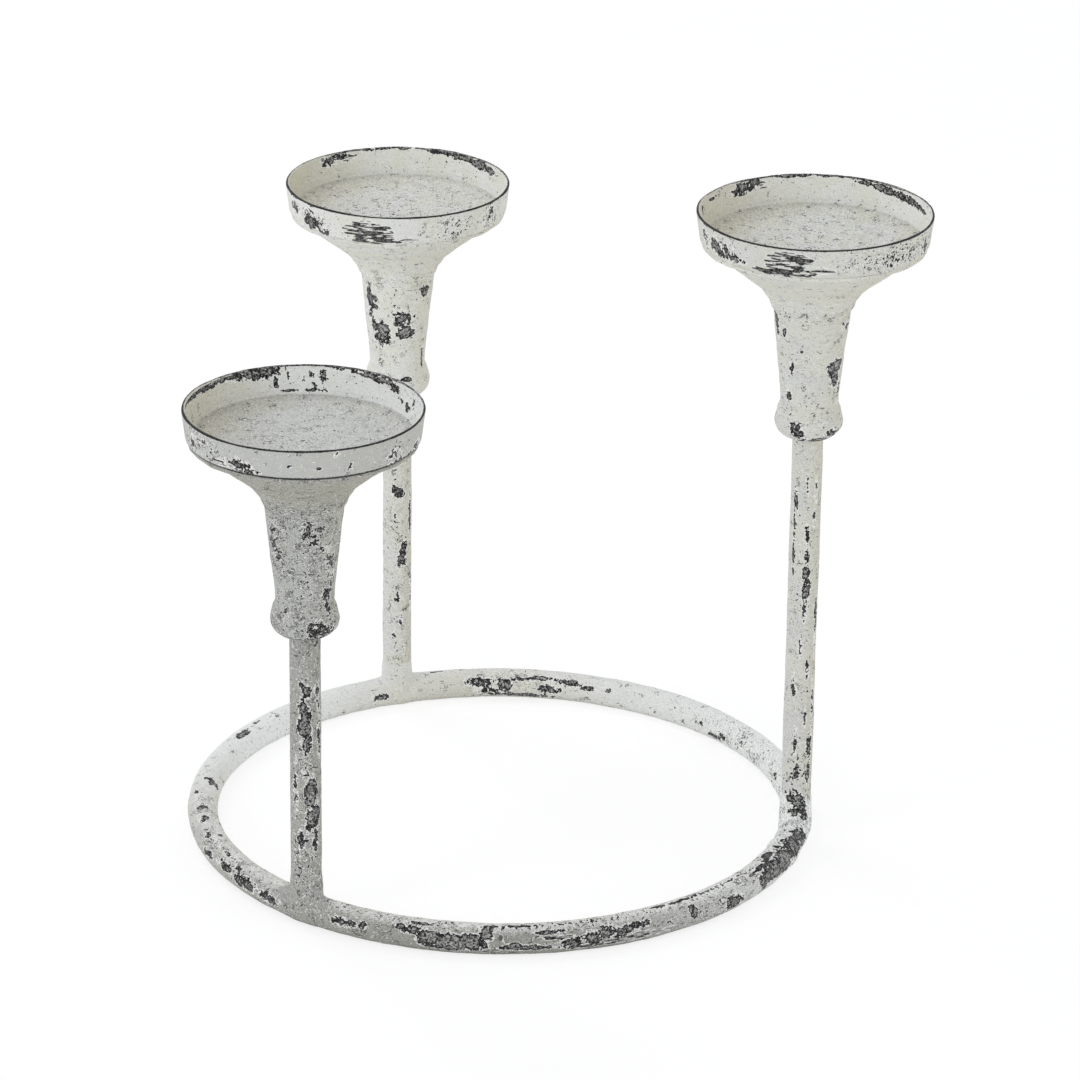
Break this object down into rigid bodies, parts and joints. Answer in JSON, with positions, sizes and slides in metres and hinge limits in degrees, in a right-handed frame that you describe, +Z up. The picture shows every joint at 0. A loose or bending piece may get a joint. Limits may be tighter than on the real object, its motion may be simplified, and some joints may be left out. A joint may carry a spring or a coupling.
{
  "type": "candle holder",
  "caption": "Distressed white iron candle holder: a round bar ring base with posts of different height, each with a trumpet sleeve and a shallow round pan.",
  "frame": {"origin": "centre of the base ring, on the table under it", "axes": "+Z up, +X from the ring's centre towards the tall post, the medium post 120 degrees round from it anticlockwise seen from above"},
  "size_m": [0.243, 0.2492, 0.222],
  "materials": {
    "white_paint": "matt chalky off-white paint over dark iron, brushed and lumpy, chipped to the metal along the rims and in patches",
    "bare_weld": "unpainted weld metal, dull dark grey"
  },
  "bodies": {
    "root": {"base_ring": "white_paint", "ring_seam_weld": "white_paint", "post_tall": "white_paint", "foot_weld_tall": "white_paint", "sleeve_tall": "white_paint", "pan_tall": "white_paint", "pan_weld_tall": "bare_weld", "post_medium": "white_paint", "foot_weld_medium": "white_paint", "sleeve_medium": "white_paint", "pan_medium": "white_paint", "pan_weld_medium": "bare_weld", "post_short": "white_paint", "foot_weld_short": "white_paint", "sleeve_short": "white_paint", "pan_short": "white_paint", "pan_weld_short": "bare_weld"}
  },
  "joints": []
}
